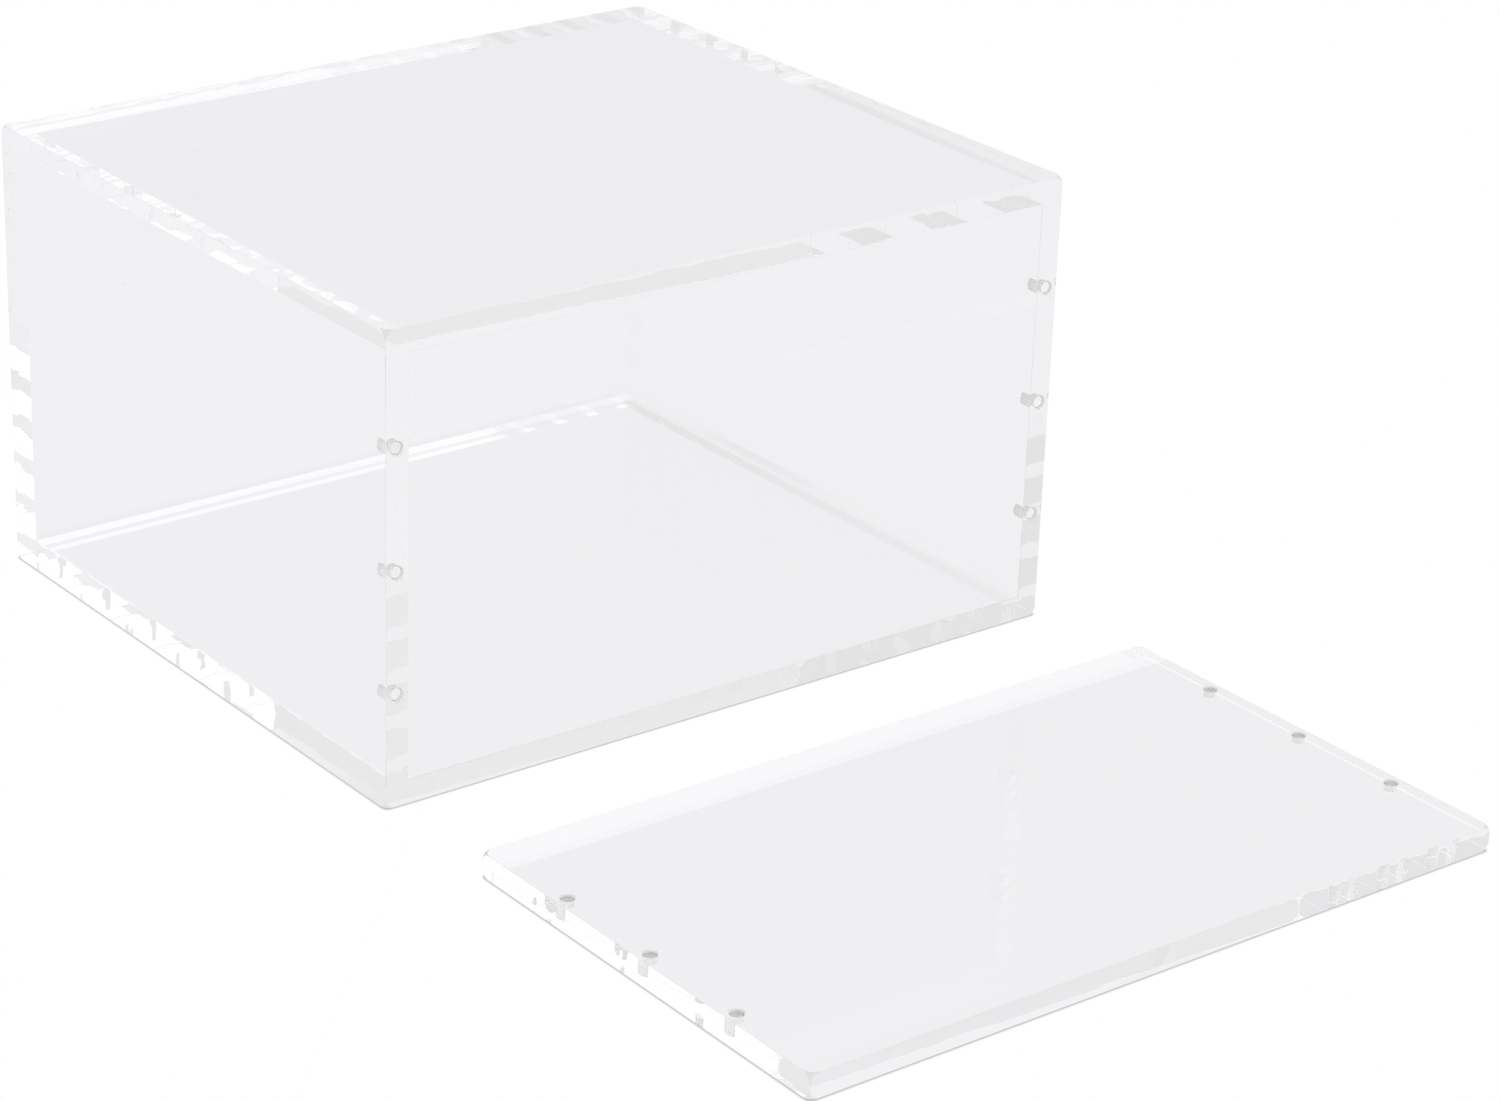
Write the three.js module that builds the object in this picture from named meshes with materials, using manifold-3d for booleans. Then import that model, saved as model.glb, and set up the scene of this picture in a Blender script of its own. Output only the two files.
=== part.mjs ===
// Clear acrylic display case: five sheets cemented into a box that is open at the front, and a loose front
// sheet that small magnets hold on. Millimetres, +Z up, the open front faces -Y, and the origin is the
// middle of the underside. The front sheet lies on the ground before the case, inner face up.
import * as THREE from 'three';
import { mergeVertices } from 'three/addons/utils/BufferGeometryUtils.js';
import Module from 'manifold-3d';

// Box
const caseWidth = 160;
const caseDepth = 141; // open front to back, without the front sheet
const caseHeight = 95;
const sheetThickness = 5;
const cementFilm = 0.1; // left between two sheets at a cemented joint
const cornerRadius = 0.4; // upright corners of the box and of the front sheet
const arrisRadius = 0.2; // polished rounding of the outer edges
const tipRadius = 2.4; // the tips where three edges meet are dubbed round

// Front sheet
const laidGap = 31.5; // ground between the case and the laid front sheet

// Magnets, set in blind bores in the side walls' front edges and in the front sheet's inner face
const magnetDiameter = 2.5;
const magnetLength = 3;
const magnetChamfer = 0.2;
const magnetPitch = 24.5;
const magnetRecess = 0.4; // below the face that it sits in
const boreFit = 0.1; // glue round the magnet
const boreChamfer = 0.15;
const boreBottomGap = 0.2; // glue under the magnet

// Smoothness
const cornerSegments = 4;
const arrisSegments = 3;
const roundSegments = 20;
const tipSegments = 32;

const sides = { left: -1, right: 1 };
const rows = { lower: -1, middle: 0, upper: 1 };

const acrylicColour = 0xe9edf2;
const nickelColour = 0xb4b6b9;

const wasm = await Module();
wasm.setup();

function toSolid(geometry) {
  const bare = geometry.clone();
  bare.deleteAttribute('normal');
  bare.deleteAttribute('uv');
  const merged = mergeVertices(bare);
  const vertProperties = new Float32Array(merged.attributes.position.array);
  const triVerts = new Uint32Array(merged.index.array);
  return new wasm.Manifold(new wasm.Mesh({ numProp: 3, vertProperties, triVerts }));
}

function toGeometry(solid) {
  const mesh = solid.getMesh();
  const geometry = new THREE.BufferGeometry();
  geometry.setAttribute('position', new THREE.BufferAttribute(mesh.vertProperties, 3));
  geometry.setIndex(new THREE.BufferAttribute(mesh.triVerts, 1));
  geometry.computeVertexNormals();
  return geometry;
}

function acrylic() {
  return new THREE.MeshStandardMaterial({
    color: acrylicColour, roughness: 0.04, metalness: 0, transparent: true, opacity: 0.3,
  });
}

function nickel() {
  return new THREE.MeshStandardMaterial({ color: nickelColour, roughness: 0.22, metalness: 1 });
}

function addPiece(group, name, geometry, material) {
  const piece = new THREE.Mesh(geometry, material);
  piece.name = name;
  group.add(piece);
  return piece;
}

function roundedRectangle(width, height, radius) {
  const x = width / 2;
  const y = height / 2;
  const outline = new THREE.Shape();
  outline.moveTo(x - radius, -y);
  outline.absarc(x - radius, radius - y, radius, -Math.PI / 2, 0);
  outline.absarc(x - radius, y - radius, radius, 0, Math.PI / 2);
  outline.absarc(radius - x, y - radius, radius, Math.PI / 2, Math.PI);
  outline.absarc(radius - x, radius - y, radius, Math.PI, Math.PI * 1.5);
  outline.closePath();
  return outline;
}

// A box between two corners, for taking one sheet out of the finished outside form.
function slab(low, high) {
  const size = new THREE.Vector3().subVectors(high, low);
  const middle = new THREE.Vector3().addVectors(high, low).multiplyScalar(0.5);
  const box = new THREE.BoxGeometry(size.x, size.y, size.z);
  box.translate(middle.x, middle.y, middle.z);
  return toSolid(box);
}

// What is sanded off a tip at the origin whose block lies towards (x, y, z), each of them -1 or 1: a cube
// less the ball that touches the three edges at tipRadius from the tip.
function tipWaste(x, y, z) {
  const inner = new THREE.Vector3(x, y, z).multiplyScalar(tipRadius);
  const outer = inner.clone().negate();
  const cube = slab(inner.clone().min(outer), inner.clone().max(outer));
  const ball = wasm.Manifold.sphere(tipRadius * Math.SQRT2, tipSegments);
  return cube.subtract(ball.translate(inner.x, inner.y, inner.z));
}

// A block from z = 0 up, with round upright corners, a round arris along its top and bottom rims, and dubbed
// tips.
function polishedBlock(width, depth, height) {
  const block = new THREE.ExtrudeGeometry(roundedRectangle(width, depth, cornerRadius), {
    depth: height - 2 * arrisRadius,
    curveSegments: cornerSegments,
    bevelThickness: arrisRadius,
    bevelSize: arrisRadius,
    bevelOffset: -arrisRadius,
    bevelSegments: arrisSegments,
  });
  block.translate(0, 0, arrisRadius);
  let solid = toSolid(block);
  for (const x of [-1, 1]) {
    for (const y of [-1, 1]) {
      for (const z of [-1, 1]) {
        const level = z < 0 ? height : 0;
        const waste = tipWaste(x, y, z);
        solid = solid.subtract(waste.translate(-x * width / 2, -y * depth / 2, level));
      }
    }
  }
  return solid;
}

// The magnet stands on the origin along +Y, and its two rims are chamfered.
function magnetGeometry() {
  const radius = magnetDiameter / 2;
  const profile = [
    new THREE.Vector2(0, 0),
    new THREE.Vector2(radius - magnetChamfer, 0),
    new THREE.Vector2(radius, magnetChamfer),
    new THREE.Vector2(radius, magnetLength - magnetChamfer),
    new THREE.Vector2(radius - magnetChamfer, magnetLength),
    new THREE.Vector2(0, magnetLength),
  ];
  return new THREE.LatheGeometry(profile, roundSegments);
}

// The bore's mouth is at the origin and its blind end along +Y. The cutter stands out of the mouth.
function boreGeometry() {
  const radius = magnetDiameter / 2 + boreFit;
  const depth = magnetRecess + magnetLength + boreBottomGap;
  const mouth = radius + boreChamfer;
  const profile = [
    new THREE.Vector2(0, -sheetThickness),
    new THREE.Vector2(mouth, -sheetThickness),
    new THREE.Vector2(mouth, 0),
    new THREE.Vector2(radius, boreChamfer),
    new THREE.Vector2(radius, depth),
    new THREE.Vector2(0, depth),
  ];
  return new THREE.LatheGeometry(profile, roundSegments);
}

const halfWidth = caseWidth / 2;
const halfDepth = caseDepth / 2;
const magnetX = halfWidth - sheetThickness / 2; // middle of a side wall

// The cemented box. Each sheet is cut out of one polished block, so that their outer faces run flush.
const bondedCase = new THREE.Group();
const outside = polishedBlock(caseWidth, caseDepth, caseHeight);
const floorTop = sheetThickness;
const ceiling = caseHeight - sheetThickness;
const wallFoot = floorTop + cementFilm;
const wallHead = ceiling - cementFilm;
const wallInner = halfWidth - sheetThickness;
const backInner = halfDepth - sheetThickness;
const backSide = wallInner - cementFilm;

const bottomSheet = outside.intersect(slab(
  new THREE.Vector3(-caseWidth, -caseDepth, -caseHeight),
  new THREE.Vector3(caseWidth, caseDepth, floorTop),
));
addPiece(bondedCase, 'bottom_panel', toGeometry(bottomSheet), acrylic());

const topSheet = outside.intersect(slab(
  new THREE.Vector3(-caseWidth, -caseDepth, ceiling),
  new THREE.Vector3(caseWidth, caseDepth, caseHeight * 2),
));
addPiece(bondedCase, 'top_panel', toGeometry(topSheet), acrylic());

const backSheet = outside.intersect(slab(
  new THREE.Vector3(-backSide, backInner, wallFoot),
  new THREE.Vector3(backSide, caseDepth, wallHead),
));
addPiece(bondedCase, 'back_panel', toGeometry(backSheet), acrylic());

for (const [side, sign] of Object.entries(sides)) {
  const near = sign * wallInner;
  const far = sign * caseWidth;
  let wall = outside.intersect(slab(
    new THREE.Vector3(Math.min(near, far), -caseDepth, wallFoot),
    new THREE.Vector3(Math.max(near, far), caseDepth, wallHead),
  ));
  for (const [row, step] of Object.entries(rows)) {
    const x = sign * magnetX;
    const z = caseHeight / 2 + step * magnetPitch;
    const bore = boreGeometry();
    bore.translate(x, -halfDepth, z);
    wall = wall.subtract(toSolid(bore));
    const magnet = addPiece(bondedCase, `case_magnet_${side}_${row}`, magnetGeometry(), nickel());
    magnet.position.set(x, magnetRecess - halfDepth, z);
  }
  addPiece(bondedCase, `${side}_side_panel`, toGeometry(wall), acrylic());
}

// The front sheet. Laid down, the edge that stands on the ground when closed is the one nearest the case.
const frontSheet = new THREE.Group();
frontSheet.position.y = -halfDepth - laidGap - caseHeight / 2;
let frontPanel = polishedBlock(caseWidth, caseHeight, sheetThickness);

for (const [side, sign] of Object.entries(sides)) {
  for (const [row, step] of Object.entries(rows)) {
    const x = sign * magnetX;
    const y = -step * magnetPitch;
    const bore = boreGeometry();
    bore.rotateX(-Math.PI / 2);
    bore.translate(x, y, sheetThickness);
    frontPanel = frontPanel.subtract(toSolid(bore));
    const laidMagnet = magnetGeometry();
    laidMagnet.rotateX(-Math.PI / 2);
    const magnet = addPiece(frontSheet, `front_magnet_${side}_${row}`, laidMagnet, nickel());
    magnet.position.set(x, y, sheetThickness - magnetRecess);
  }
}
addPiece(frontSheet, 'front_panel', toGeometry(frontPanel), acrylic());

const displayCase = new THREE.Group();
displayCase.add(bondedCase, frontSheet);

export default displayCase;
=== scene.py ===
import math

import bpy
import numpy as np
from mathutils import Matrix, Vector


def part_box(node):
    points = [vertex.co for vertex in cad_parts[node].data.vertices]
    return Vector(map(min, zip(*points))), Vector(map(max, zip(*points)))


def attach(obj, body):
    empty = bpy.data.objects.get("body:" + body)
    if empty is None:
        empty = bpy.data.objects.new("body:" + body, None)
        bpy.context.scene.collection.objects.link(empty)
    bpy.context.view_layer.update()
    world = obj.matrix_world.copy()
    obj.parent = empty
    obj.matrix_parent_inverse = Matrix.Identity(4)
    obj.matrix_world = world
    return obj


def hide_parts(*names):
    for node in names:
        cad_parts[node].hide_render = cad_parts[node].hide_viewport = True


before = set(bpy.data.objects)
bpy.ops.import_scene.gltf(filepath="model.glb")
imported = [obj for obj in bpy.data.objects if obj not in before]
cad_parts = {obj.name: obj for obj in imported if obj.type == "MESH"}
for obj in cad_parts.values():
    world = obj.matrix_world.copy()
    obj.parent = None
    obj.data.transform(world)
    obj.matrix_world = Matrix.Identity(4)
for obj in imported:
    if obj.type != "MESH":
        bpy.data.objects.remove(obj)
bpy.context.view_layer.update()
mm = 0.001
scene = bpy.context.scene
print("frame loaded:", len(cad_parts), "solids")


# Shader graphs. A Wire is one output socket, and arithmetic on it adds Math nodes.
class Wire:
    def __init__(self, graph, socket):
        self.graph = graph
        self.socket = socket

    def __add__(self, other):
        return self.graph.math("ADD", self, other)

    def __radd__(self, other):
        return self.graph.math("ADD", other, self)

    def __sub__(self, other):
        return self.graph.math("SUBTRACT", self, other)

    def __rsub__(self, other):
        return self.graph.math("SUBTRACT", other, self)

    def __mul__(self, other):
        return self.graph.math("MULTIPLY", self, other)

    def __rmul__(self, other):
        return self.graph.math("MULTIPLY", other, self)

    # another output of the same node
    def beside(self, name):
        return Wire(self.graph, self.socket.node.outputs[name])


class Graph:
    def __init__(self, owner):
        owner.use_nodes = True
        self.tree = owner.node_tree
        self.tree.nodes.clear()

    # one node of any kind: its settings first, then the values or links of its sockets
    def node(self, kind, settings=None, sockets=None, out=0):
        made = self.tree.nodes.new("ShaderNode" + kind)
        for key, value in (settings or {}).items():
            setattr(made, key, value)
        for key, value in (sockets or {}).items():
            socket = made.inputs[key]
            if isinstance(value, Wire):
                self.tree.links.new(value.socket, socket)
            else:
                socket.default_value = value
        return Wire(self, made.outputs[out]) if len(made.outputs) else None

    def math(self, operation, first, second):
        return self.node("Math", {"operation": operation}, {0: first, 1: second})

    # 0 below low and 1 above high, eased between them
    def step(self, value, low, high):
        return self.node(
            "MapRange",
            {"interpolation_type": "SMOOTHSTEP"},
            {"Value": value, "From Min": low, "From Max": high},
        )

    # 1 from start to end, eased off over a soft length outside them
    def band(self, value, start, end, soft):
        return self.step(value, start - soft, start) * (1 - self.step(value, end, end + soft))

    # a Mix node's colours are its sockets 6 and 7, and its mixed colour is output 2
    def mixColour(self, factor, first, second):
        sockets = {"Factor": factor, 6: (*first, 1.0), 7: (*second, 1.0)}
        return self.node("Mix", {"data_type": "RGBA"}, sockets, out=2)

    def noise(self, place, scale, detail, roughness=0.5):
        sockets = {"Vector": place, "Scale": scale, "Detail": detail, "Roughness": roughness}
        return self.node("TexNoise", None, sockets)

    # patches where a noise is high: 0 where it is below low, and 1 where it is above high
    def patches(self, place, scale, detail, low, high):
        return self.step(self.noise(place, scale, detail), low, high)

    # a value that a pattern from 0 to 1 carries half a spread below and above its middle
    def about(self, middle, pattern, spread):
        return pattern * spread + (middle - spread / 2)

    def bump(self, height, depth, strength):
        sockets = {"Strength": strength, "Distance": depth, "Height": height}
        return self.node("Bump", None, sockets)


# Finishes. A noise is given as scale per metre, detail and roughness, and patches as scale,
# detail, and the noise at which they begin and are full.
black, white = (0.0, 0.0, 0.0), (1.0, 1.0, 1.0)


def finish(name):
    made = bpy.data.materials.new(name)
    graph = Graph(made)
    place = graph.node("TexCoord", out="Object")
    return made, graph, place


def shade(graph, sockets):
    surface = graph.node("BsdfPrincipled", None, sockets)
    graph.node("OutputMaterial", None, {"Surface": surface})


acrylic = {
    "ior": 1.491,
    "tint": (0.992, 0.992, 0.995),
    "specks": (900.0, 1.0, 0.80, 0.84),
    "speckTint": (0.78, 0.78, 0.80),
    "smudges": (38.0, 4.0, 0.5, 0.8),
    "smudgeRoughness": 0.012,
    "waves": (110.0, 1.0),
    "waveDepth": 0.075 * mm,
    "waveStrength": 1.0,
}


# The faces of the sheets are cast flat. Their cut edges are polished by hand and a little wavy.
def acrylicFinish(name, waveDepth):
    made, graph, place = finish(name)
    specks = graph.patches(place, *acrylic["specks"])
    smudges = graph.patches(place, *acrylic["smudges"])
    sockets = {
        "Base Color": graph.mixColour(specks, acrylic["tint"], acrylic["speckTint"]),
        "Roughness": smudges * acrylic["smudgeRoughness"],
        "IOR": acrylic["ior"],
        "Transmission Weight": 1.0,
    }
    if waveDepth:
        waves = graph.noise(place, *acrylic["waves"])
        sockets["Normal"] = graph.bump(waves, waveDepth, acrylic["waveStrength"])
    shade(graph, sockets)
    return made


# Scraped, sanded and drilled acrylic scatters light. Seen through the sheet it also shows the
# light that comes in through it from outside: the glow paints that light in, as emission seen
# only from inside the sheet.
arrisLook = {
    "tint": (0.97, 0.97, 0.975),
    "roughness": 0.45,
    "roughnessSpread": 0.2,
    "grain": (420.0, 3.0, 0.6),
    "glow": 0.42,
}
tipLook = {
    "tint": (0.9, 0.9, 0.905),
    "roughness": 0.5,
    "roughnessSpread": 0.2,
    "grain": (900.0, 3.0, 0.6),
    "glow": 0.45,
}
boreLook = {
    "tint": (0.96, 0.96, 0.965),
    "roughness": 0.5,
    "roughnessSpread": 0.2,
    "grain": (5200.0, 3.0, 0.6),
    "glow": 0.32,
}


def scrapedFinish(name, look):
    made, graph, place = finish(name)
    grain = graph.noise(place, *look["grain"])
    # painted light: the glow shines only on the side seen from inside the sheet
    through = graph.node("NewGeometry", out="Backfacing")
    shade(graph, {
        "Base Color": (*look["tint"], 1.0),
        "Roughness": graph.about(look["roughness"], grain, look["roughnessSpread"]),
        "IOR": acrylic["ior"],
        "Emission Color": graph.mixColour(through, black, white),
        "Emission Strength": look["glow"],
    })
    return made


cement = {
    "tint": (0.93, 0.94, 0.95),
    "roughness": 0.3,
    "bubbles": (1500.0, 1.0, 0.74, 0.78),
    "bubbleAlpha": 0.25,
}


def cementFinish():
    made, graph, place = finish("clear_cement")
    shade(graph, {
        "Base Color": (*cement["tint"], 1.0),
        "Roughness": cement["roughness"],
        "Alpha": graph.patches(place, *cement["bubbles"]) * cement["bubbleAlpha"],
    })
    return made


caseNickel = {
    "tint": (0.99, 0.985, 0.975),
    "dullTint": (0.92, 0.915, 0.9),
    "dullness": (600.0, 2.0, 0.4, 0.75),
    "roughness": 0.28,
    "roughnessSpread": 0.16,
    "grain": (2400.0, 4.0, 0.6),
    "grainDepth": 0.02 * mm,
    "grainStrength": 0.15,
}
# painted shade: the front sheet's magnets are a darker copy of the case's nickel, for the dimmer
# surroundings that their upturned ends reflect
shadedFrontNickel = {
    **caseNickel,
    "tint": (0.74, 0.735, 0.725),
    "dullTint": (0.62, 0.615, 0.605),
    "roughness": 0.3,
}


def nickelFinish(name, look):
    made, graph, place = finish(name)
    grain = graph.noise(place, *look["grain"])
    dullness = graph.patches(place, *look["dullness"])
    shade(graph, {
        "Base Color": graph.mixColour(dullness, look["tint"], look["dullTint"]),
        "Roughness": graph.about(look["roughness"], grain, look["roughnessSpread"]),
        "Metallic": 1.0,
        "Normal": graph.bump(grain, look["grainDepth"], look["grainStrength"]),
    })
    return made


sheetFinishes = [
    acrylicFinish("clear_acrylic", 0.0),
    scrapedFinish("scraped_arris", arrisLook),
    scrapedFinish("drilled_bore", boreLook),
    cementFinish(),
    scrapedFinish("sanded_tip", tipLook),
    acrylicFinish("polished_edge", acrylic["waveDepth"]),
]
face, edge, drilled, joint, dubbed, polished = range(len(sheetFinishes))  # places in the list
magnetFinishes = {
    "case": nickelFinish("case_nickel", caseNickel),
    "front": nickelFinish("shaded_front_nickel", shadedFrontNickel),
}
print("finishes ready")


# Shapes. A Shell gathers the points and faces of one closed piece.
class Shell:
    def __init__(self):
        self.points = np.zeros((0, 3))
        self.faces = []
        self.finishes = []
        self.smooth = []

    # gives the places of the new points
    def addPoints(self, points):
        first = len(self.points)
        points = np.asarray(points, float).reshape(-1, 3)
        self.points = np.concatenate([self.points, points])
        return first + np.arange(len(points))

    # faces are rows of point places, as an array or as a list of rows of any length
    def addFaces(self, faces, finishIndex, smooth=False):
        self.faces += [np.asarray(one).tolist() for one in faces]
        self.finishes += [finishIndex] * len(faces)
        self.smooth += [smooth] * len(faces)

    # the same form in a mirror, point * sign + shift, with its faces turned outwards again
    def mirrored(self, sign, shift=(0, 0, 0)):
        other = Shell()
        other.points = self.points * sign + shift
        other.faces = [one[::-1] for one in self.faces]
        other.finishes = list(self.finishes)
        other.smooth = list(self.smooth)
        return other

    def piece(self, name, finishes, body, node, slot):
        mesh = bpy.data.meshes.new(name)
        mesh.from_pydata(self.points.tolist(), [], self.faces)
        mesh.polygons.foreach_set("material_index", self.finishes)
        mesh.polygons.foreach_set("use_smooth", self.smooth)
        for one in finishes:
            mesh.materials.append(one)
        mesh.update()
        made = bpy.data.objects.new(name, mesh)
        scene.collection.objects.link(made)
        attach(made, body)
        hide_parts(node)


# A closed path through right-angled corners (x, y, share), anticlockwise. With a plan radius R,
# a corner is the arc spot + R * pull, where pull = share * (before * (cos a - 1) + after *
# (sin a - 1)), and before and after are the outward normals of the two sides that meet there.
# Gives the spots, pulls and outward normals of the points, whether the side after each point
# is curved, and each corner's first and last place in the path.
def cornerPath(corners, steps):
    corners = np.asarray(corners, float)
    sides = np.roll(corners[:, :2], -1, 0) - corners[:, :2]
    sides /= np.linalg.norm(sides, axis=1)[:, None]
    after = np.stack([sides[:, 1], -sides[:, 0]], 1)
    before = np.roll(after, 1, 0)
    turn = np.linspace(0, math.pi / 2, steps + 1)[:, None]
    spots, pulls, normals, curved, ends = [], [], [], [], []
    for (x, y, share), first, second in zip(corners, before, after):
        if share:
            outward = first * np.cos(turn) + second * np.sin(turn)
        else:
            outward = (first + second)[None] / np.linalg.norm(first + second)
        ends.append((len(curved), len(curved) + len(outward) - 1))
        spots.append(np.broadcast_to([x, y], outward.shape))
        pulls.append(share * (outward - first - second))
        normals.append(outward)
        curved += [True] * (len(outward) - 1) + [False]
    path = [np.concatenate(rows) for rows in (spots, pulls, normals)]
    return path, np.array(curved), ends


# Rings of a sheet: with rows (inset, height, plan radius) in the profile, ring j has at point i
# of the path spot(i) + radius(j) * pull(i) - inset(j) * normal(i), at height(j).
def sheetRings(path, profile):
    spots, pulls, normals = path
    inset, height, radius = np.asarray(profile, float).T[:, :, None, None]
    flat = spots + radius * pulls - inset * normals
    return np.concatenate([flat, np.broadcast_to(height, (*flat.shape[:2], 1))], 2)


# How far a quarter-round stands back from its side, at a height above the flat:
# radius * (1 - sin a), where cos a = 1 - height / radius.
def standBack(height, radius):
    return radius * (1 - np.sqrt(1 - np.clip(1 - height / radius, 0, 1) ** 2))


# Heights of a quarter-round's rows: radius * (1 - cos a), for a from 0 to a right angle.
def quarterHeights(radius, steps):
    return radius * (1 - np.cos(np.linspace(0, math.pi / 2, steps + 1)))


# The rim of a sheet, from its flat up its side: a round arris, and dubbed tips where the plan
# radius follows a larger quarter-round until it comes down to that of the upright corners.
# Also tells which rows are arris, and which belong to the tips.
def rimProfile(rim, corner, tip, steps):
    slack = 0.001  # share by which two lengths may differ and still be one
    heights = [quarterHeights(rim, steps), quarterHeights(tip, steps)]
    height = np.unique(np.concatenate(heights))
    radius = np.maximum(corner, standBack(height, tip))
    profile = np.stack([standBack(height, rim), height, radius], 1)
    return profile, height < rim * (1 - slack), radius > corner * (1 + slack)


# Quads between neighbouring rings: quad (j, i) joins points i and i + 1 of ring j to the same
# two of ring j + 1.
def ringQuads(index):
    ahead = np.roll(index, -1, 1)
    return np.stack([index[:-1], ahead[:-1], ahead[1:], index[1:]], -1)


# The sides of a sheet, without the quads in skip. A quad is arris where its path or its profile
# is round, and part of a tip where its path is round among the tip rows. Of the flat ones,
# those in cutSides are polished edges.
def sideFaces(shell, index, curvedPath, curvedProfile, tipRows, cutSides, skip=()):
    quads = ringQuads(index)
    path = np.asarray(curvedPath)[None]
    rounded = np.asarray(curvedProfile)[: len(quads), None] | path
    tips = np.asarray(tipRows)[: len(quads), None] & path
    cut = np.broadcast_to(cutSides, rounded.shape)
    kept = np.ones(rounded.shape, bool)
    for place in skip:
        kept[place] = False
    shell.addFaces(quads[kept & tips], dubbed, True)
    shell.addFaces(quads[kept & rounded & ~tips], edge, True)
    shell.addFaces(quads[kept & ~rounded & cut], polished)
    shell.addFaces(quads[kept & ~rounded & ~cut], face)


boreShape = {
    # radius and depth, from the chamfered mouth to the blind end
    "profile": [
        (1.5 * mm, 0), (1.36 * mm, 0.14 * mm), (1.29 * mm, 0.25 * mm), (1.29 * mm, 3.55 * mm),
    ],
    "steps": 48,
    "half": 1.6 * mm,  # half the flat that holds a bore
}


# A four-cornered flat with a blind bore in it. A circle's point is centre + r * (across * cos a
# + along * sin a), and the bore is that circle carried down its profile against the normal.
def boredFlat(shell, cornerIndex, centre, across, along, flatFinish):
    steps = boreShape["steps"]
    quarter = steps // 4
    toCorner = shell.points[cornerIndex[0]] - centre
    start = math.atan2(toCorner @ along, toCorner @ across) - math.pi / 4
    turn = start + np.arange(steps) * 2 * math.pi / steps
    wheel = np.cos(turn)[:, None] * across + np.sin(turn)[:, None] * along
    profile = np.asarray(boreShape["profile"], float)
    outward = np.cross(across, along)
    rings = centre + profile[:, None, :1] * wheel[None] - profile[:, None, 1:] * outward
    index = shell.addPoints(rings).reshape(len(profile), steps)
    mouth = index[0]
    own = cornerIndex[np.arange(steps) // quarter]  # each quarter fans out to its own corner
    shell.addFaces(np.stack([own, np.roll(mouth, -1), mouth], 1), flatFinish)
    quarterEnds = np.roll(mouth[::quarter], -1)
    between = np.stack([cornerIndex, np.roll(cornerIndex, -1), quarterEnds], 1)
    shell.addFaces(between, flatFinish)
    shell.addFaces(ringQuads(index).reshape(-1, 4), drilled, True)
    shell.addFaces([index[-1]], drilled)


# Sizes read off the frame
low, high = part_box("bottom_panel")[0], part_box("top_panel")[1]
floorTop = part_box("bottom_panel")[1].z
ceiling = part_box("top_panel")[0].z
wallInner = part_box("right_side_panel")[0].x
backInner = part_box("back_panel")[0].y
halfWidth, front, back = high.x, low.y, high.y

rounding = {
    "upright": 0.1 * mm,  # upright corners of the case and of the front sheet
    "rim": 0.06 * mm,  # arris along the outer edges
    "opening": 0.06 * mm,  # arris round the open front
    "tip": 2.4 * mm,  # where three edges meet
    "steps": 8,
}

magnet = {
    "radius": 1.25 * mm,
    "rim": 0.2 * mm,
    "steps": 48,
    "rows": ("lower", "middle", "upper"),
    "sides": ("left", "right"),
}


# Middles of the magnets on the left, row by row.
def magnetCentres(group, rows):
    boxes = [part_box(f"{group}_magnet_left_{row}") for row in rows]
    return [(lowest + highest) / 2 for lowest, highest in boxes]


# Bottom sheet: the plan of the case with a round lower rim, and a round arris along the open
# front. Its upper side is the cemented strip under the three walls and the bare floor.
def bottomShell():
    shell = Shell()
    corner, lip, steps = rounding["upright"], rounding["opening"], rounding["steps"]
    path, curved, ends = cornerPath([
        (-halfWidth, front, 1), (-wallInner, front, 0),
        (wallInner, front, 0), (halfWidth, front, 1),
        (halfWidth, back, 1), (wallInner, back, 0),
        (-wallInner, back, 0), (-halfWidth, back, 1),
    ], steps)
    rim, arrisRows, tipRows = rimProfile(rounding["rim"], corner, rounding["tip"], steps)
    profile = np.concatenate([rim, [(0, floorTop - lip, corner), (0, floorTop, corner)]])
    index = shell.addPoints(sheetRings(path, profile)).reshape(len(profile), -1)
    opening = ends[1][0]
    lipQuad = (len(profile) - 2, opening)
    above = (False, False)  # the two rows over the rim
    sideFaces(shell, index, curved, [*arrisRows, *above], [*tipRows, *above], True, {lipQuad})
    shell.addFaces([index[0][::-1]], face)
    # arris of the opening: a quarter-round from the front face to the floor, from wall to wall
    turn = np.linspace(0, math.pi / 2, steps + 1)
    y = front + lip * (1 - np.cos(turn))
    z = floorTop - lip * (1 - np.sin(turn))
    leftRound = shell.addPoints(np.stack([np.full_like(y, -wallInner), y, z], 1)[1:])
    rightRound = shell.addPoints(np.stack([np.full_like(y, wallInner), y, z], 1)[1:])
    leftRound = np.concatenate([[index[-2][opening]], leftRound])
    rightRound = np.concatenate([[index[-2][opening + 1]], rightRound])
    strip = np.stack([leftRound[:-1], rightRound[:-1], rightRound[1:], leftRound[1:]], 1)
    shell.addFaces(strip, edge, True)
    top = index[-1]
    shell.addFaces([[top[opening], *leftRound]], face)
    shell.addFaces([[top[opening + 1], *rightRound[::-1]]], face)
    # upper side, corner by corner in the order of the path
    inner = [(-wallInner, backInner, floorTop), (wallInner, backInner, floorTop)]
    backLeft, backRight = shell.addPoints(inner)
    arc = [top[first: last + 1] for first, last in ends]
    leftStrip = [*arc[6], *arc[7], *arc[0], *arc[1], leftRound[-1], backLeft]
    rightStrip = [*arc[2], *arc[3], *arc[4], *arc[5], backRight, rightRound[-1]]
    backStrip = [backLeft, backRight, arc[5][0], arc[6][0]]
    shell.addFaces([leftStrip, rightStrip, backStrip], joint)
    shell.addFaces([[leftRound[-1], rightRound[-1], backRight, backLeft]], face)
    return shell


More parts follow.
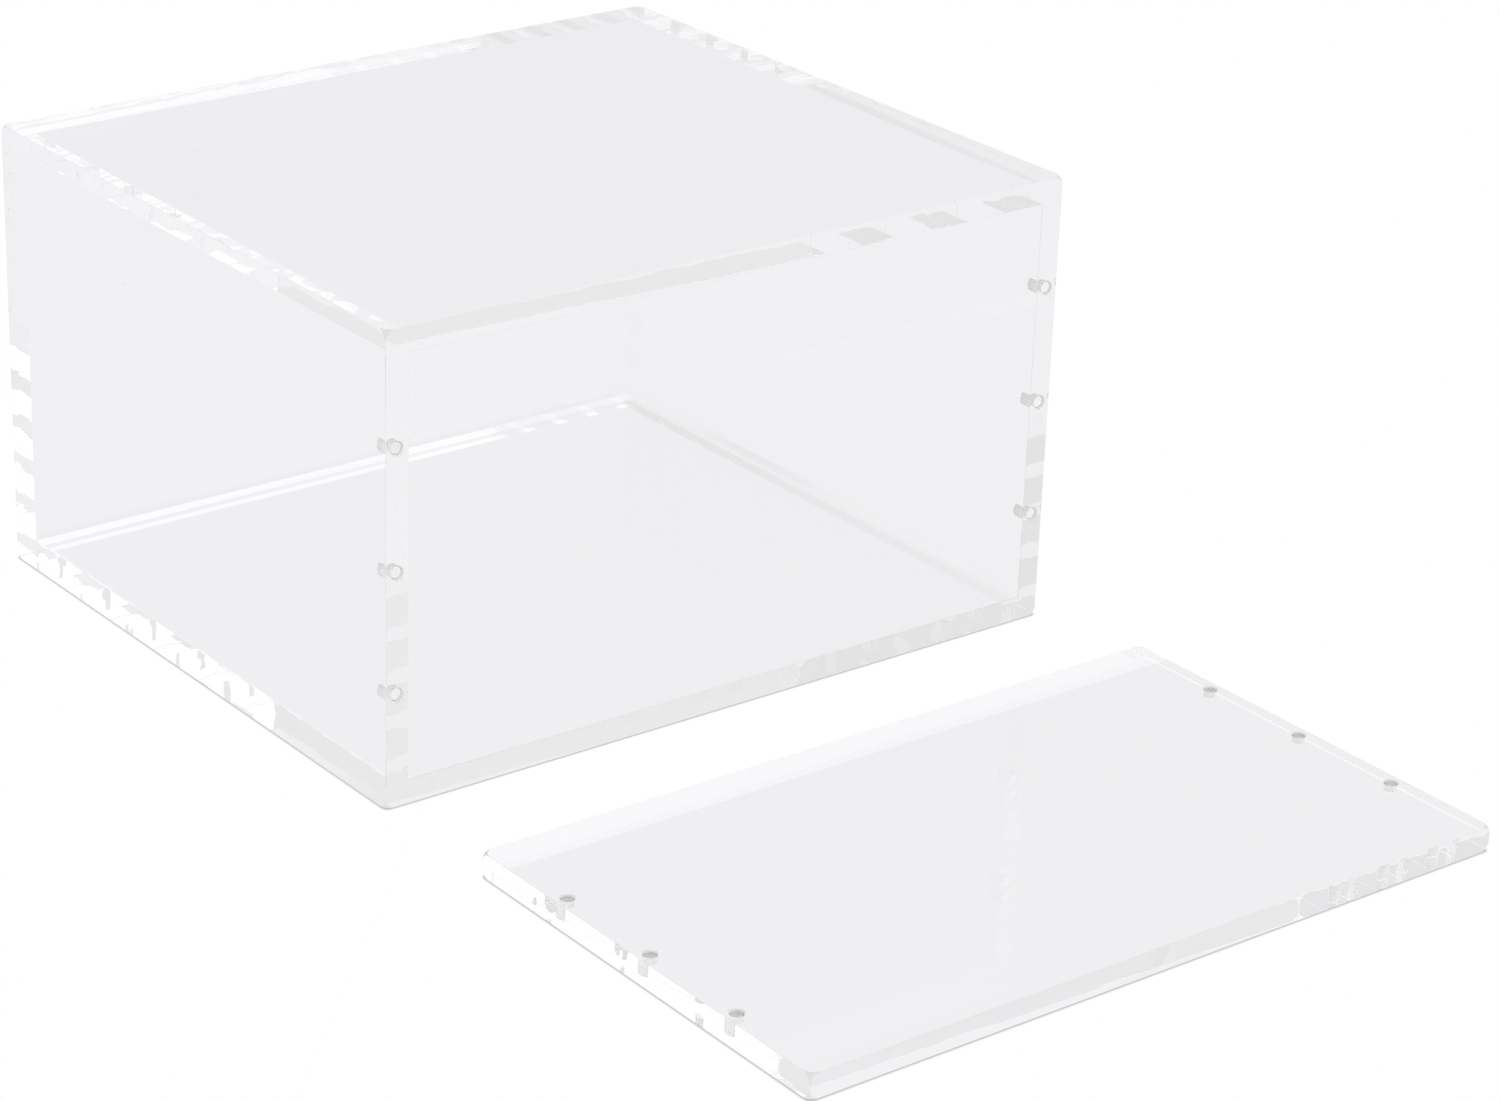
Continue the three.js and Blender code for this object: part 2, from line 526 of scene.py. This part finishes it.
# Left side sheet: its plan carried from the floor to the ceiling, with the bores in its front
# edge. Foot, head and the strip that the back sheet stands against are cemented.
def leftShell():
    shell = Shell()
    corner, lip, half = rounding["upright"], rounding["opening"], boreShape["half"]
    path, curved, ends = cornerPath([
        (-halfWidth, front, 1), (-wallInner, front, lip / corner), (-wallInner, backInner, 0),
        (-wallInner, back, 0), (-halfWidth, back, 1),
    ], rounding["steps"])
    centres = magnetCentres("case", magnet["rows"])
    heights = [floorTop, *(c.z + s * half for c in centres for s in (-1, 1)), ceiling]
    profile = [(0, z, corner) for z in heights]
    index = shell.addPoints(sheetRings(path, profile)).reshape(len(profile), -1)
    frontSide, cemented, backSide = ends[0][1], ends[2][0], ends[3][1]
    bored = {(2 * n + 1, frontSide) for n in range(len(centres))}
    glued = {(j, cemented) for j in range(len(profile) - 1)}
    plain = [False] * len(profile)
    cutSides = np.isin(np.arange(len(curved)), [frontSide, backSide])
    sideFaces(shell, index, curved, plain, plain, cutSides, bored | glued)
    quads = ringQuads(index)
    shell.addFaces(quads[:, cemented], joint)
    across, along = np.array([1.0, 0, 0]), np.array([0, 0, 1.0])
    for quad, centre in zip(quads[1::2, frontSide], centres):
        spot = np.array([centre.x, front, centre.z])
        boredFlat(shell, quad, spot, across, along, polished)
    shell.addFaces([index[0][::-1], index[-1]], joint)
    return shell


# Back sheet: a plain block between the walls, cemented on all four of its edges.
def backShell():
    shell = Shell()
    path = cornerPath([
        (-wallInner, backInner, 0), (wallInner, backInner, 0),
        (wallInner, back, 0), (-wallInner, back, 0),
    ], rounding["steps"])[0]
    profile = [(0, floorTop, 0), (0, ceiling, 0)]
    index = shell.addPoints(sheetRings(path, profile)).reshape(len(profile), -1)
    sides = ringQuads(index)[0]
    shell.addFaces(sides[::2], face)
    shell.addFaces(sides[1::2], joint)
    shell.addFaces([index[0][::-1], index[1]], joint)
    return shell


# Front sheet, laid flat: a round rim above and below, and the bores in its upper side, which is
# a column of small flats along each short edge, flats at the corners and one large flat.
def frontShell():
    shell = Shell()
    lowest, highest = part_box("front_panel")
    near, far, thick = lowest.y, highest.y, highest.z
    half, corner, steps = boreShape["half"], rounding["upright"], rounding["steps"]
    centres = magnetCentres("front", magnet["rows"][::-1])
    breaks = [c.y + s * half for c in centres for s in (-1, 1)]
    column = -centres[0].x - half
    path, curved, ends = cornerPath([
        (-halfWidth, near, 1), (-column, near, 0), (column, near, 0), (halfWidth, near, 1),
        *((halfWidth, y, 0) for y in breaks),
        (halfWidth, far, 1), (column, far, 0), (-column, far, 0), (-halfWidth, far, 1),
        *((-halfWidth, y, 0) for y in breaks[::-1]),
    ], steps)
    rim, arrisRows, tipRows = rimProfile(rounding["rim"], corner, rounding["tip"], steps)
    profile = np.concatenate([rim, rim[::-1] * [1, -1, 1] + [0, thick, 0]])
    index = shell.addPoints(sheetRings(path, profile)).reshape(len(profile), -1)
    arrisRows, tipRows = ([*rows, *rows[-2::-1]] for rows in (arrisRows, tipRows))
    sideFaces(shell, index, curved, arrisRows, tipRows, True)
    shell.addFaces([index[0][::-1]], face)
    # upper side, corner by corner in the order of the path
    arc = [index[-1][first: last + 1] for first, last in ends]
    count = len(breaks)
    farRight, farLeft = 4 + count, 7 + count  # places among the corners
    rightRim = [one[0] for one in arc[4:farRight]]
    leftRim = [one[0] for one in arc[farLeft + 1:]][::-1]
    rightInner = shell.addPoints([(column, y, thick) for y in breaks])
    leftInner = shell.addPoints([(-column, y, thick) for y in breaks])
    shell.addFaces([
        [leftRim[0], *arc[0], *arc[1], leftInner[0]],
        [*arc[2], *arc[3], rightRim[0], rightInner[0]],
        [rightInner[-1], rightRim[-1], *arc[farRight], *arc[farRight + 1]],
        [leftInner[-1], *arc[farLeft - 1], *arc[farLeft], leftRim[-1]],
        [*arc[1], *arc[2], *rightInner, *arc[farRight + 1], *arc[farLeft - 1], *leftInner[::-1]],
    ], face)
    # small flats: every other one holds a bore
    across, along = np.array([1.0, 0, 0]), np.array([0, 1.0, 0])
    for n in range(count - 1):
        left = np.array([leftRim[n], leftInner[n], leftInner[n + 1], leftRim[n + 1]])
        right = np.array([rightInner[n], rightRim[n], rightRim[n + 1], rightInner[n + 1]])
        if n % 2:
            shell.addFaces([left, right], face)
            continue
        centre = centres[n // 2]
        for quad, x in ((left, centre.x), (right, -centre.x)):
            boredFlat(shell, quad, np.array([x, centre.y, thick]), across, along, face)
    return shell


# Magnet: a profile with round rims carried round its axis. A point is foot + axis * h
# + r * (u * cos a + v * sin a).
def magnetShell(node, axis):
    shell = Shell()
    lowest, highest = (np.array(v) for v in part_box(node))
    axis = np.asarray(axis, float)
    u = np.roll(axis, 1)
    v = np.cross(axis, u)
    length = abs((highest - lowest) @ axis)
    foot = (lowest + highest) / 2 - axis * length / 2
    height = quarterHeights(magnet["rim"], rounding["steps"])
    lower = np.stack([magnet["radius"] - standBack(height, magnet["rim"]), height], 1)
    profile = np.concatenate([lower, lower[::-1] * [1, -1] + [0, length]])
    turn = np.arange(magnet["steps"]) * 2 * math.pi / magnet["steps"]
    wheel = np.cos(turn)[:, None] * u + np.sin(turn)[:, None] * v
    rings = foot + profile[:, None, 1:] * axis + profile[:, None, :1] * wheel[None]
    index = shell.addPoints(rings).reshape(len(profile), -1)
    shell.addFaces(ringQuads(index).reshape(-1, 4), 0, True)
    shell.addFaces([index[0][::-1], index[-1]], 0)
    return shell


bottomSheet, leftSheet = bottomShell(), leftShell()
sheets = {
    "bottom_sheet": (bottomSheet, "bonded_case", "bottom_panel"),
    "top_sheet": (bottomSheet.mirrored((1, 1, -1), (0, 0, high.z)), "bonded_case", "top_panel"),
    "left_sheet": (leftSheet, "bonded_case", "left_side_panel"),
    "right_sheet": (leftSheet.mirrored((-1, 1, 1)), "bonded_case", "right_side_panel"),
    "back_sheet": (backShell(), "bonded_case", "back_panel"),
    "front_sheet": (frontShell(), "front_sheet", "front_panel"),
}
for name, (shell, body, node) in sheets.items():
    shell.piece(name, sheetFinishes, body, node, "clear_acrylic")
print("sheets built")

# the body that a group of magnets is set in, and the way its bores run
magnetGroups = {"case": ("bonded_case", (0, 1, 0)), "front": ("front_sheet", (0, 0, 1))}
for side in magnet["sides"]:
    for row in magnet["rows"]:
        for group, (body, axis) in magnetGroups.items():
            node = f"{group}_magnet_{side}_{row}"
            finishes = [magnetFinishes[group]]
            magnetShell(node, axis).piece("plated_" + node, finishes, body, node, "nickel_plate")
print("magnets built")


# Studio: a pale floor that shows white to the camera, and a sky of soft boxes.
studio = {
    "floorHalf": 9.0,
    "floorDrop": 0.1 * mm,
    "paper": (0.884, 0.884, 0.897),
    "contactReach": 0.8 * mm,  # of the floor's thin contact shadow
    "contactOpening": (0.45, 0.98),  # from full shadow to none
    "contactDepth": 0.45,
    "contactSamples": 16,
    "sky": 0.82,
    "skyTint": (0.99, 0.99, 1.0),
    # direction, full within this angle, gone past this angle, change of brightness
    "boxes": [
        ((0.541, -0.743, 0.394), 18, 32, 0.26),
        ((-0.541, 0.743, 0.394), 18, 34, -0.045),
        ((-0.541, -0.743, 0.394), 18, 34, -0.10),
    ],
    "bounces": 64,
}

# Light and shade on the ground where clear walls and edges pipe light down. It shows in and
# through the sheets only. Lights and shades are shares of the gain.
ground = {
    "gain": 0.18,
    "soft": 0.4 * mm,  # of a band's ends
    "footGap": 0.6 * mm,  # half the dark line at a wall's foot
    "backLine": (3.0 * mm, 1.7 * mm),  # before the back wall's inner face
    "backLineLight": 0.9,
    "backFillLight": 0.3,  # from that line to the wall
    "backHalf": (3.0 * mm, 3.4 * mm),  # behind the inner face, where the wall's near half ends
    "backHalfLoss": 0.55,  # towards the right corner
    "dashesFrom": (39 * mm, 41 * mm),  # along x
    "dashMiddle": 46.6 * mm,
    "dashPitch": 8.6 * mm,
    "dashEdge": (0.3, 0.7),  # of a cosine
    "dashLoss": 0.9,  # between the dashes
    "leftReach": 2.24 * mm,  # past the left wall's inner face
    "leftStop": 3.2 * mm,  # before the back wall's inner face
    "leftBreaks": (170.0, 1.0, 0.46, 0.52),
    "leftLoss": 0.8,  # in the breaks
    "sheetLight": 0.45,  # under the front sheet's far edge
    "sideReach": 8 * mm,  # on the right of the case and of the front sheet
    "footShade": (1.8 * mm, 0.8 * mm),  # inwards and outwards of the right wall's inner face
    "footCloud": (900.0, 2.0),
    "footCloudLeast": 0.1,
    "footNear": 0.4,  # what is left of the shade at the front
    "sideShade": 0.45,
    "sideShadeGrows": (-10 * mm, 38 * mm),  # along y
    "sideShadeFades": (30 * mm, 56 * mm),
    "behindReach": 10 * mm,
    "behindShade": 0.15,
    "poolMiddle": (206 * mm, -150 * mm, 0.0),
    "poolRadius": (70 * mm, 120 * mm),
    "poolLight": 0.22,
}


def groundLight(graph, place):
    x = graph.node("SeparateXYZ", None, {"Vector": place}, out="X")
    y = x.beside("Y")
    gap, reach, near = ground["footGap"], ground["sideReach"], ground["footNear"]
    sheetLow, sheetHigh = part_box("front_panel")

    def band(value, start, end):
        return graph.band(value, start, end, ground["soft"])

    # light along the back wall's foot, which breaks up into dashes towards the right corner
    across = band(x, -halfWidth, halfWidth)
    right = graph.step(x, *ground["dashesFrom"])
    turn = (x - ground["dashMiddle"]) * (2 * math.pi / ground["dashPitch"])
    wave = graph.node("Math", {"operation": "COSINE"}, {0: turn})
    gaps = 1 - graph.step(wave, *ground["dashEdge"])
    nearHalf = 1 - graph.step(y, *(backInner + depth for depth in ground["backHalf"]))
    wallPart = band(y, backInner + gap, back) * (1 - right * nearHalf * ground["backHalfLoss"])
    lineStart, lineEnd = (backInner - depth for depth in ground["backLine"])
    innerPart = band(y, lineStart, lineEnd) * ground["backLineLight"]
    innerPart = innerPart + band(y, lineEnd, backInner - gap) * ground["backFillLight"]
    innerPart = innerPart * (1 - right * gaps * ground["dashLoss"])
    total = across * (wallPart + innerPart)
    # light in pieces under the left wall, under the front sheet's far edge, and beside the sheet
    whole = 1 - graph.patches(place, *ground["leftBreaks"]) * ground["leftLoss"]
    leftWall = band(x, -halfWidth, -wallInner + ground["leftReach"])
    total = total + leftWall * band(y, front, backInner - ground["leftStop"]) * whole
    farEdge = band(y, sheetHigh.y - sheetHigh.z, sheetHigh.y)
    total = total + across * farEdge * ground["sheetLight"]
    beside = band(x, halfWidth, halfWidth + reach)
    total = total + beside * band(y, sheetLow.y - reach, sheetHigh.y)
    # shade at the right wall's foot, on the ground beyond it, and behind the case
    inwards, outwards = ground["footShade"]
    foot = band(x, wallInner - inwards, wallInner + outwards) * band(y, front, backInner - gap)
    cloud = graph.noise(place, *ground["footCloud"]) + ground["footCloudLeast"]
    total = total - foot * cloud * (graph.step(y, front, back) * (1 - near) + near)
    grown = graph.step(y, *ground["sideShadeGrows"])
    remaining = 1 - graph.step(y, *ground["sideShadeFades"])
    total = total - beside * (grown * remaining) * ground["sideShade"]
    total = total - across * band(y, back, back + ground["behindReach"]) * ground["behindShade"]
    # a soft pool of light on the right of the front sheet
    sockets = {0: place, 1: ground["poolMiddle"]}
    away = graph.node("VectorMath", {"operation": "DISTANCE"}, sockets, out="Value")
    return total + (1 - graph.step(away, *ground["poolRadius"])) * ground["poolLight"]


def floorFinish():
    made, graph, place = finish("studio_floor")
    seen = graph.node("LightPath", out="Is Camera Ray")
    opening = graph.node(
        "AmbientOcclusion",
        {"samples": studio["contactSamples"]},
        {"Distance": studio["contactReach"]},
        out="AO",
    )
    closed = 1 - graph.step(opening, *studio["contactOpening"])
    contact = closed * studio["contactDepth"] * seen
    glow = graph.node("Emission", None, {
        "Color": graph.mixColour(seen, studio["paper"], white),
        "Strength": 1 - contact + groundLight(graph, place) * (1 - seen) * ground["gain"],
    })
    graph.node("OutputMaterial", None, {"Surface": glow})
    return made


def studioSky():
    sky = bpy.data.worlds.new("studio_sky")
    graph = Graph(sky)
    way = graph.node("TexCoord", out="Generated")
    total = studio["sky"]
    for direction, inner, outer, change in studio["boxes"]:
        sockets = {0: way, 1: direction}
        facing = graph.node("VectorMath", {"operation": "DOT_PRODUCT"}, sockets, out="Value")
        gone, full = (math.cos(math.radians(angle)) for angle in (outer, inner))
        total = graph.step(facing, gone, full) * change + total
    glow = graph.node("Background", None, {"Color": (*studio["skyTint"], 1.0), "Strength": total})
    graph.node("OutputWorld", None, {"Surface": glow})
    scene.world = sky


def layFloor():
    corners = np.array([(-1, -1), (1, -1), (1, 1), (-1, 1)]) * studio["floorHalf"]
    points = np.insert(corners, 2, -studio["floorDrop"], axis=1)
    mesh = bpy.data.meshes.new("studio_floor")
    mesh.from_pydata(points.tolist(), [], [(0, 1, 2, 3)])
    mesh.materials.append(floorFinish())
    floor = bpy.data.objects.new("studio_floor", mesh)
    scene.collection.objects.link(floor)


view = {
    "azimuth": -36.425,
    "elevation": 23.519,
    "roll": 1.211,
    "distance": 0.83955,
    "target": (-0.01077, -0.04267, 0.02592),
    "focal": 4255.3 / 1500,  # of the picture's width
    "shift": 0.0987,
    "sensor": 36.0,
    "clip": (0.01, 50.0),
}


def aimCamera():
    data = bpy.data.cameras.new("camera")
    data.sensor_fit = "HORIZONTAL"
    data.sensor_width = view["sensor"]
    data.lens = view["focal"] * view["sensor"]
    data.shift_x = view["shift"]
    data.clip_start, data.clip_end = view["clip"]
    turn, rise, roll = (math.radians(view[key]) for key in ("azimuth", "elevation", "roll"))
    level = math.cos(rise)
    away = np.array([math.sin(turn) * level, -math.cos(turn) * level, math.sin(rise)])
    right = np.cross([0, 0, 1.0], away)
    right /= np.linalg.norm(right)
    up = np.cross(away, right)
    place = np.eye(4)
    place[:3, 0] = right * math.cos(roll) + up * math.sin(roll)
    place[:3, 1] = up * math.cos(roll) - right * math.sin(roll)
    place[:3, 2] = away
    place[:3, 3] = np.array(view["target"]) + away * view["distance"]
    camera = bpy.data.objects.new("camera", data)
    camera.matrix_world = Matrix(place.tolist())
    scene.collection.objects.link(camera)
    scene.camera = camera


layFloor()
studioSky()
aimCamera()
scene.view_settings.view_transform = "Standard"
scene.cycles.max_bounces = studio["bounces"]
scene.cycles.transmission_bounces = studio["bounces"]
scene.cycles.glossy_bounces = studio["bounces"]
scene.cycles.transparent_max_bounces = studio["bounces"]
print("studio and camera set")
